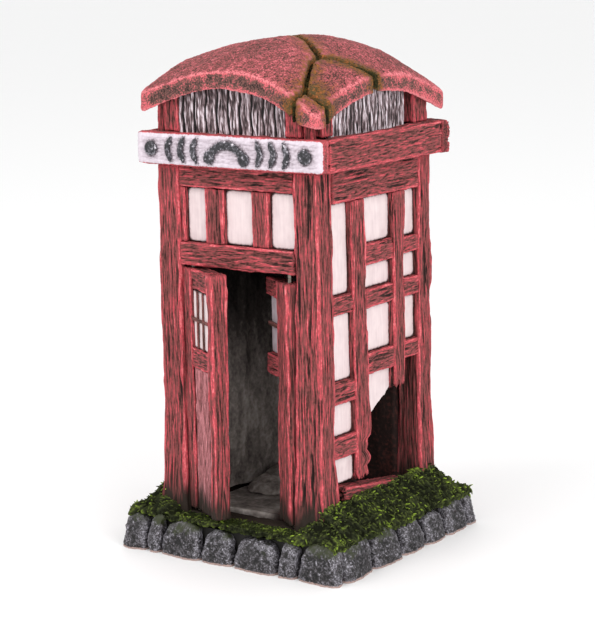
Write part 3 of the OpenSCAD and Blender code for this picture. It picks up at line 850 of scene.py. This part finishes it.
slabs = []
for i, box in enumerate(boxes("clerestory_panels")):
    middle = (box[0] + box[1]) / 2
    if abs(middle.y) > abs(middle.x):
        outward = "+Y" if middle.y > 0 else "-Y"
    else:
        outward = "+X" if middle.x > 0 else "-X"
    slabs.append(ribbed_slab(box, outward, 501 + i))
hand_in(joined("clerestory_panels_ribbed", slabs), ["clerestory_panels"], ribbed_material())
short = dict(bend=0.4, gouge=0.7, fibre=0.3, split=0, wave=8, dark_ends=False)
timbers("clerestory_posts", "Z", 520, **short)
timbers("clerestory_corner_blocks", "Z", 560, **short)

# %% [markdown]
# The roof is one vault with a thick rolled rim, broken into three pieces by cracks. Its surface is stippled
# like sandpaper. The cracks hold moss, and rain has carried brown and ochre from it over the shell beside
# them, so each point of the shell keeps its distance to the nearest moss.

# %% Material: the roof
def roof_material():
    """Cast resin stippled with a stiff brush, matte red over brown, coral on its rims, and painted shade: a
    darker, browner ramp on the rim's upright faces.
    """
    mat, tree, shader = material("stippled_sandy_red_roof", roughness=0.8, specular=0.18)
    grit = even_noise(tree, 0.5, 2)
    coarse = even_noise(tree, 1.3, 3)
    cloud = even_noise(tree, 14, 2)
    proud = read(tree, "proud")
    edge = read(tree, "rolled")
    tone = sum_of(tree, [(proud, 1.3), (grit, 2.1), (coarse, 0.7), (cloud, 0.4), (edge, 0.5)], -1.17)
    paint = paint_ramp(tree, tone, [(0.0, "#2a1b19"), (0.26, "#573631"), (0.43, "#7b4643"), (0.57, "#954b4d"),
                                    (0.72, "#aa565c"), (0.86, "#c65d66"), (1.0, "#da7f83")])
    # Painted shade: the upright faces of the rim take a darker, browner ramp than the top.
    under = fade(tree, sum_of(tree, [(read(tree, "rim_face"), 1.0), (coarse, 0.6)], -0.3), 0.2, 0.9)
    paint = over(tree, paint, paint_ramp(tree, tone, [(0.0, "#211816"), (0.4, "#553d3a"), (0.65, "#745049"),
                                                      (0.85, "#a35257"), (1.0, "#d2656c")]), under)
    near = sum_of(tree, [(read(tree, "stain"), 1.2), (coarse, 1.0), (grit, 0.7)], -0.95)
    soiled = paint_ramp(tree, sum_of(tree, [(coarse, 0.9), (grit, 0.9)], -0.4), [
        (0.0, "#2a2617"), (0.4, "#4d4126"), (0.62, "#7c4f2a"), (0.8, "#a0592f"), (1.0, "#a5793f")])
    paint = over(tree, paint, soiled, fade(tree, near, 0.2, 0.7))
    finish_shader(tree, shader, paint, sum_of(tree, [(grit, 0.7), (coarse, 0.3)]), 0.8, 0.2)
    return mat


ROOF_RED = roof_material()

# %% Shape: the roof
SAG_FRONT = 1.6
SAG_SIDE = -1.8
TIP_REACH = 1.3
LEAN_RIGHT = 2.2
HALF_ROOF = (33, 37)
PATCH = Vector((0.0275, -0.0305, 0.150))
shells = []
crack = refined(copy_of("crack_moss"), 0.4, 2)
near_crack = tree_of(points(crack)[::3])
for i, node in enumerate(("roof_shell", "roof_wedge", "roof_corner_tip")):
    piece = refined(copy_of(node), 0.5, 12)
    co = points(piece) / MM
    front = np.clip((-co[:, 1] - 12) / 25, 0, 1) ** 2 * np.clip(1 - ((co[:, 0] + 3.5) / 34) ** 2, 0, 1)
    side = np.clip((co[:, 0] - 8) / 25, 0, 1) ** 2 * np.clip(1 - (co[:, 1] / HALF_ROOF[1]) ** 2, 0, 1)
    tips = np.clip((np.abs(co[:, :2]) - (22, 26)) / 11, 0, 1).prod(1)
    from_middle = co[:, 0] / HALF_ROOF[0]
    lean_right = from_middle * np.clip(1 - from_middle ** 2, 0, 1)
    co[:, 2] += SAG_FRONT * front + SAG_SIDE * side + LEAN_RIGHT * lean_right
    co[:, :2] += np.sign(co[:, :2]) * (tips * TIP_REACH)[:, None]
    set_points(piece, co * MM)
    carve(piece, BENDS, 1.0, (14, 14, 14), 600)
    carve(piece, LUMPS, 0.5, (2.6, 2.6, 2.6), 601 + i)
    co = points(piece)
    normal = normals(piece)
    keep(piece, "rim_face", np.clip(1.25 - 2.2 * np.abs(normal[:, 2]), 0, 1))
    keep(piece, "stain", [max(math.exp(-near_crack.find(p)[2] / (3.6 * MM)),
                              math.exp(-(PATCH - Vector(p)).length / (7 * MM))) for p in co])
    measure_proud(piece, 40)
    keep(piece, "rolled", np.clip(kept(piece, "proud") * 3, 0, 1))
    carve(piece, LUMPS, 0.34, (0.9, 0.9, 0.9), 611 + i)
    measure_proud(piece, 4)
    piece.name = node + "_stippled"
    shells.append(hand_in(piece, [node], ROOF_RED))

# %% [markdown]
# Moss on such a piece is green flock and paint on modelled noodles. The bank itself is a remeshed copy of
# its solid, roughened until it looks matted. On it stand curls: one short bent strand of a few faces,
# copied a few thousand times, each with its own size, turn and tint.

# %% Material: moss
def moss_material(name, stops, sheen_colour="#8aa832"):
    """Matted flock: no gloss at all, black-green between the strands and yellow-green on their tips."""
    mat, tree, shader = material(name, roughness=0.95, specular=0.08)
    shader.inputs["Sheen Weight"].default_value = 0.15
    shader.inputs["Sheen Tint"].default_value = colour(sheen_colour)
    patch = even_noise(tree, 9, 2)
    fine = even_noise(tree, 0.7, 3)
    own = [(read(tree, "proud"), 0.9), (read(tree, "tint"), 0.45)]
    tone = sum_of(tree, own + [(patch, 1.1), (fine, 0.5)], -0.8)
    finish_shader(tree, shader, paint_ramp(tree, tone, stops), fine, 0.8, 0.3)
    return mat


GREEN_MOSS = moss_material("flocked_green_moss", [
    (0.0, "#12130c"), (0.25, "#25281b"), (0.45, "#3c4224"), (0.62, "#55612b"), (0.8, "#748a30"),
    (1.0, "#9cb544")])
OCHRE_MOSS = moss_material("ochre_roof_moss", [
    (0.0, "#15140d"), (0.3, "#2c2a18"), (0.5, "#4a3f1f"), (0.68, "#6d4a22"), (0.84, "#8f5c24"),
    (1.0, "#a98a3a")],
    "#a8842f")

# %% One curl of moss
ops.mesh.primitive_cylinder_add(vertices=5, radius=0.2 * MM, depth=1.5 * MM, location=(0, 0, 0))
curl = bpy.context.object
curl.name = "moss_curl"
edit()
for level in (-0.25, 0.25):
    ops.mesh.select_all(action="SELECT")
    ops.mesh.bisect(plane_co=(0, 0, level * MM), plane_no=(0, 0, 1))
done()
co = points(curl) / MM
narrow = 1 - 0.55 * (np.abs(co[:, 2]) / 0.75) ** 2
co[:, :2] *= narrow[:, None]
co[:, 0] += 0.45 * (co[:, 2] ** 2)
set_points(curl, co * MM)
CURL = curl.data.copy()
bpy.data.objects.remove(curl)
print("one curl:", len(CURL.polygons), "faces")


def sow(name, ground, count, seed, keep_if, sizes, sink=0.1):
    """Scatters curls over the upward faces of a piece, as one mesh."""
    rng = random.Random(seed)
    faces = [f for f in ground.data.polygons if f.normal.z > 0.15 and keep_if(f.center)]
    curls = []
    for _ in range(count):
        f = rng.choice(faces)
        size = rng.uniform(*sizes)
        turned = Matrix.Rotation(rng.uniform(0, math.tau), 4, "Z")
        turned = turned @ Matrix.Rotation(rng.uniform(0.5, 1.5), 4, "Y")
        mesh = CURL.copy()
        mesh.transform(Matrix.Translation(f.center - f.normal * sink * MM) @ turned @ Matrix.Scale(size, 4))
        obj = bpy.data.objects.new(name, mesh)
        scene.collection.objects.link(obj)
        keep(obj, "tint", [rng.uniform(0.2, 1.0) ** 1.5] * len(mesh.vertices))
        keep(obj, "proud", mesh_tip(mesh, f.normal))
        curls.append(obj)
    return joined(name, curls)


def mesh_tip(mesh, normal):
    """Brighter at the highest points of a curl."""
    heights = np.array([v.co.dot(normal) for v in mesh.vertices]) / MM
    return (heights - heights.mean()) * 0.5


# %% The moss bank, pressed flat where the leaves sweep over it
CLEAR_OF_LEAVES = 12.7
WALL_X, WALL_Y = 31, 33
LEFT_REACH = 26
RIGHT_REACH = 21
bank = refined(copy_of("moss_bank"), 0.55, 6)
co = points(bank) / MM
wall = np.maximum(np.abs(co[:, 0]) - WALL_X, np.abs(co[:, 1]) - WALL_Y)
top = np.clip((co[:, 2] - 9) / 3, 0, 1)
rim = np.clip((wall - 2) / 4, 0, 1)
co[:, 2] += top * (1.0 + 1.8 * np.clip(1 - wall / 6, 0, 1)) - 1.2 * rim ** 2 * top
co[:, :2] *= (1 + 0.1 * rim * np.clip((co[:, 2] - 4) / 3, 0, 1))[:, None]
set_points(bank, co * MM)
carve(bank, LUMPS, 2.8, (6, 6, 6), 701, 0.4)
carve(bank, CELLS, -1.1, (1.5, 1.5, 1.5), 702, 0.35)
carve(bank, LUMPS, 0.6, (0.9, 0.9, 0.9), 703)
co = points(bank) / MM
to_left, to_right = (np.hypot(co[:, 0] - pin.x / MM, co[:, 1] - pin.y / MM) for pin in (left_pin, right_pin))
beside_left = np.clip((co[:, 0] - left_pin.x / MM + 8) / 4, 0, 1)
beside_right = np.clip((right_pin.x / MM + 8 - co[:, 0]) / 4, 0, 1)
swept = np.maximum(np.clip((LEFT_REACH - to_left) / 5, 0, 1) * beside_left,
                   np.clip((RIGHT_REACH - to_right) / 3, 0, 1) * beside_right)
co[:, 2] -= swept * np.maximum(co[:, 2] - CLEAR_OF_LEAVES, 0)
set_points(bank, co * MM)
keep(bank, "tint", np.full(len(bank.data.vertices), 0.15))
measure_proud(bank, 10)
bank.name = "moss_bank_matted"
tufts = sow("moss_curls", bank, 3600, 705, lambda p: True, (0.8, 1.9))
hand_in(bank, ["moss_bank"], GREEN_MOSS)
hand_in(tufts, ["moss_bank"], GREEN_MOSS)

# %% Moss in the roof's cracks
carve(crack, LUMPS, 1.0, (2, 2, 2), 711, 0.35)
carve(crack, CELLS, -0.6, (1.0, 1.0, 1.0), 712, 0.3)
keep(crack, "tint", np.full(len(crack.data.vertices), 0.3))
measure_proud(crack, 6)
crack.name = "crack_moss_matted"


def beside_crack(p):
    """Moss spills a little way over the shell, and furthest in the hollow above the broken corner."""
    return near_crack.find(p)[2] < 1.7 * MM or (PATCH - p).length < 3.5 * MM


crack_tufts = sow("crack_moss_curls", crack, 420, 715, lambda p: True, (0.4, 0.95))
hand_in(crack, ["crack_moss"], OCHRE_MOSS)
spilled = [sow(f"roof_moss_curls_{i}", shell, count, 720 + i, beside_crack, (0.35, 0.8), 0.15)
           for i, (shell, count) in enumerate(zip(shells, (420, 260, 90)))]
tufts = joined("crack_moss_curls", [crack_tufts] + spilled)
hand_in(tufts, ["crack_moss"], OCHRE_MOSS)

# %% [markdown]
# The kerb is a ring of cobbles. Each is a block rounded hard at its top, dented and pitted, and narrower
# above, as if its neighbours had been pressed in beside it. The paint is charcoal with a silver-lilac brush
# over it, and at the very bottom the bare pinkish resin shows.

# %% Material: cobbles
def stone_material():
    """Cast resin cobble: dark wash in the pits, satin dry-brushed grey on everything proud."""
    mat, tree, shader = material("silver_brushed_charcoal_cobble", roughness=0.55, specular=0.35)
    worms = even_noise(tree, 0.8, 3)
    fine = even_noise(tree, 0.45, 2)
    cloud = even_noise(tree, 6, 2)
    tone = sum_of(tree, [(read(tree, "proud"), 1.9), (worms, 1.0), (fine, 1.5), (cloud, 0.4)], -1.2)
    paint = paint_ramp(tree, tone, [(0.0, "#141314"), (0.25, "#2d2a2c"), (0.45, "#4a474b"), (0.62, "#67646a"),
                                    (0.8, "#8d8a92"), (1.0, "#bbb8c0")])
    low = sum_of(tree, [(along_axis(tree), 1 / MM), (worms, 0.8)], -0.4)
    paint = over(tree, paint, "#a88f88", fade(tree, low, 0.75, 0.35))
    damp = [(along_axis(tree), 1 / (6 * MM)), (cloud, 1.6), (worms, 0.8), (read(tree, "proud"), -1.0)]
    green = sum_of(tree, damp, -2.2)
    paint = over(tree, paint, "#2f341d", fade(tree, green, 0.3, 0.9))
    finish_shader(tree, shader, paint, sum_of(tree, [(worms, 0.6), (fine, 0.4)]), 0.6, 0.25)
    return mat


COBBLE = stone_material()


BURIED = 3
PINCH = (0.12, 0.28)
CROWN = (1.8, 3.2)
LEAN_BACK = 2.0


def cobble(box, seed):
    """A block with a buried foot that is cut off level, so that only its top and sides are rounded."""
    low, high = box
    size = high - low
    obj = blank((size.x, size.y, size.z + BURIED), [0.45] * 3, 2.5, 5, 0.46)
    rng = random.Random(seed)
    co = points(obj)
    rise = np.clip((co[:, 2] - BURIED / 2 * MM) / (size.z * MM) + 0.5, 0, 1)
    co[:, :2] *= (1 - rng.uniform(*PINCH) * rise ** 2)[:, None]
    long_way = int(size.y > size.x)
    swell = co[:, long_way] / (size[long_way] * MM) * 2
    co[:, 2] -= rng.uniform(*CROWN) * MM * rise * swell ** 2
    co[:, 1 - long_way] *= 1 - 0.18 * np.abs(swell) ** 3
    outward = math.copysign(1, (low + high)[1 - long_way])
    co[:, 1 - long_way] -= outward * LEAN_BACK * MM * rise ** 2
    co[:, long_way] *= 0.97
    set_points(obj, co)
    carve(obj, LUMPS, 2.0, (6, 6, 6), seed, 0.45)
    carve(obj, LUMPS, 0.9, (2.2, 2.2, 2.2), seed + 1)
    carve(obj, FIBRES, 0.7, (1.3, 1.3, 1.3), seed + 2, 0.5)
    settle(obj, Matrix.Translation((low + high) / 2 * MM - Vector((0, 0, BURIED / 2 * MM))))
    edit()
    ops.mesh.bisect(plane_co=(0, 0, low.z * MM), plane_no=(0, 0, 1), clear_inner=True, use_fill=True,
                    threshold=1e-7)
    done()
    measure_proud(obj, 8, 0.16)
    return obj


for k, side in enumerate(("front", "right", "back", "left")):
    node = "edge_stones_" + side
    cobbles = [cobble(b, 800 + 40 * k + i) for i, b in enumerate(boxes(node))]
    hand_in(joined(node + "_pitted", cobbles), [node], COBBLE)

# %% [markdown]
# Inside, the cabin is a cave of grey rock, with soft upright folds at the back and broken lumps on the
# floor. It is paler low down, and painted shade turns it black-brown towards the broken right wall.

# %% Material: cave rock
def rock_material():
    """Matte grey resin rock, dark in its folds, paler low down, with painted shade towards the right wall."""
    mat, tree, shader = material("smoky_grey_cave_rock", roughness=0.85, specular=0.15)
    folds = noise_of(tree, place_in(tree), [6 * MM, 6 * MM, 14 * MM], 2)
    grit = even_noise(tree, 1.2, 3)
    low_down = fade(tree, along_axis(tree), 100 * MM, 50 * MM)
    tone = sum_of(tree, [(read(tree, "proud"), 0.5), (folds, 0.6), (grit, 0.4), (low_down, 0.6)], -0.58)
    paint = paint_ramp(tree, tone, [(0.0, "#1d1918"), (0.3, "#463f3c"), (0.5, "#7c736e"), (0.7, "#a89f99"),
                                    (0.88, "#cbc3bc"), (1.0, "#e2dbd5")])
    # Painted shade: black-brown towards the broken right wall.
    right_wall_shade = paint_ramp(tree, sum_of(tree, [(grit, 0.9), (folds, 0.5)], -0.2), [
        (0.0, "#120c0b"), (0.5, "#241816"), (0.8, "#4a2723"), (1.0, "#6d5a55")])
    across = along_axis(tree, "X")
    finish_shader(tree, shader, over(tree, paint, right_wall_shade, fade(tree, across, 1 * MM, 9 * MM)), grit, 0.5, 0.3)
    return mat


FLOOR_TOP = 13.8
ROCK = rock_material()
rocks = ("cabin_floor", "floor_rubble", "rock_lining_left", "rock_lining_back", "rock_lining_right")
for i, node in enumerate(rocks):
    rubble = node == "floor_rubble"
    rock = refined(copy_of(node), 0.45 if rubble else 0.7, 2)
    if rubble:
        carve(rock, LUMPS, 1.6, (5, 5, 4), 900 + i)
        carve(rock, CELLS, 0.9, (4, 4, 4), 910 + i)
    elif node != "cabin_floor":
        carve(rock, BENDS, 2.2, (9, 9, 30), 900 + i)
    carve(rock, LUMPS, 0.7, (3, 3, 5), 920 + i)
    if node == "cabin_floor":
        co = points(rock)
        co[:, 2] = np.minimum(co[:, 2], FLOOR_TOP * MM)
        set_points(rock, co)
    measure_proud(rock, 12)
    rock.name = node + "_rough"
    hand_in(rock, [node], ROCK)

# %% [markdown]
# A few solids keep their CAD shape, because a casting or a piece of wire is just that: the slab under the
# moss, the ceiling deck, the core inside the clerestory, and the hinge pins. They only need their finish.

# %% Solids kept as they are
def bare_resin():
    """Unpainted polyester resin below, black wash above: the painter never turned the piece over."""
    mat, tree, shader = material("bare_pinkish_cast_resin", roughness=0.6, specular=0.35)
    cloud = even_noise(tree, 5, 3)
    pores = even_noise(tree, 0.6, 2)
    bare = paint_ramp(tree, sum_of(tree, [(cloud, 0.8), (pores, 0.5)], -0.15), [
        (0.0, "#a08379"), (0.5, "#c2a59b"), (1.0, "#d8c0b6")])
    painted = fade(tree, sum_of(tree, [(along_axis(tree), 1 / MM), (cloud, 0.6)]), 0.5, 1.1)
    finish_shader(tree, shader, over(tree, bare, "#1b1917", painted), pores, 0.3, 0.1)
    return mat


def dark_core():
    """Cast resin out of sight, washed black-brown."""
    mat, tree, shader = material("black_brown_washed_resin", roughness=0.85, specular=0.15)
    cloud = even_noise(tree, 4, 3)
    paint = paint_ramp(tree, cloud, [(0.0, "#151110"), (0.5, "#29201e"), (1.0, "#453431")])
    finish_shader(tree, shader, paint, cloud, 0.4, 0.3)
    return mat


def pin_steel():
    """Drawn steel wire, tarnished: fine rings of wear round it."""
    mat, tree, shader = material("tarnished_drawn_steel_wire", roughness=0.38, specular=0.5)
    shader.inputs["Metallic"].default_value = 1.0
    rings = noise_of(tree, place_in(tree), [2 * MM, 2 * MM, 0.5 * MM], 2)
    paint = paint_ramp(tree, rings, [(0.2, "#5d564f"), (0.6, "#8d857c"), (1.0, "#b5aea5")])
    finish_shader(tree, shader, paint, rings, 0.2, 0.05)
    return mat


as_they_are = {bare_resin(): ["base_slab"], dark_core(): ["ceiling_deck", "clerestory_core"],
               pin_steel(): ["left_leaf_pins", "right_leaf_pins"]}
for mat, nodes in as_they_are.items():
    for node in nodes:
        solid = frame["nodes"][node]
        solid.data.materials.clear()
        solid.data.materials.append(mat)
        print(node, "keeps its shape,", mat.name)

# %% Stage, light and camera
ops.mesh.primitive_plane_add(size=80, location=(0, 0, 0))
floor = bpy.context.object
floor.name = "floor"
mat, tree, shader = material("white_table", 0.6)
shader.inputs["Base Color"].default_value = (0.9, 0.9, 0.9, 1)
floor.data.materials.append(mat)

CAMERA_TURN = (35.07, 10.91, -0.993)  # azimuth from the front, elevation and roll, in degrees
CAMERA_AWAY = 0.68982
LOOK_AT_HEIGHT = 0.07194
LOOK_AT_LEFT = 0.00031
azimuth, elevation, roll = (math.radians(v) for v in CAMERA_TURN)
level = math.cos(elevation)
back = Vector((math.sin(azimuth) * level, -math.cos(azimuth) * level, math.sin(elevation)))
right = Vector((math.cos(azimuth), math.sin(azimuth), 0))
up = back.cross(right)
cam_x = right * math.cos(roll) + up * math.sin(roll)
cam_y = -right * math.sin(roll) + up * math.cos(roll)
camera = bpy.data.objects.new("camera", bpy.data.cameras.new("camera"))
scene.collection.objects.link(camera)
target = Vector((0, 0, LOOK_AT_HEIGHT)) - right * LOOK_AT_LEFT
turned = Matrix((cam_x, cam_y, back)).transposed().to_4x4()
camera.matrix_world = Matrix.Translation(target + back * CAMERA_AWAY) @ turned
camera.data.lens = 118
camera.data.sensor_width = 36
camera.data.clip_end = 200
scene.camera = camera

world = bpy.data.worlds.new("studio")
world.use_nodes = True
world.node_tree.nodes["Background"].inputs[0].default_value = (1, 1, 1, 1)
world.node_tree.nodes["Background"].inputs[1].default_value = 1.0
scene.world = world
scene.view_settings.view_transform = "Standard"


def lamp(name, place, size, watts):
    light = bpy.data.lights.new(name, "AREA")
    light.size = size
    light.energy = watts
    obj = bpy.data.objects.new(name, light)
    scene.collection.objects.link(obj)
    obj.location = place
    obj.rotation_euler = (Vector((0, 0, 0.07)) - Vector(place)).to_track_quat("-Z", "Y").to_euler()


lamp("key", (-0.3, -0.9, 1.1), 0.7, 5.5)
lamp("fill", (1.0, -0.5, 0.6), 0.7, 6)

# %% Finish
bpy.data.objects.remove(probe)
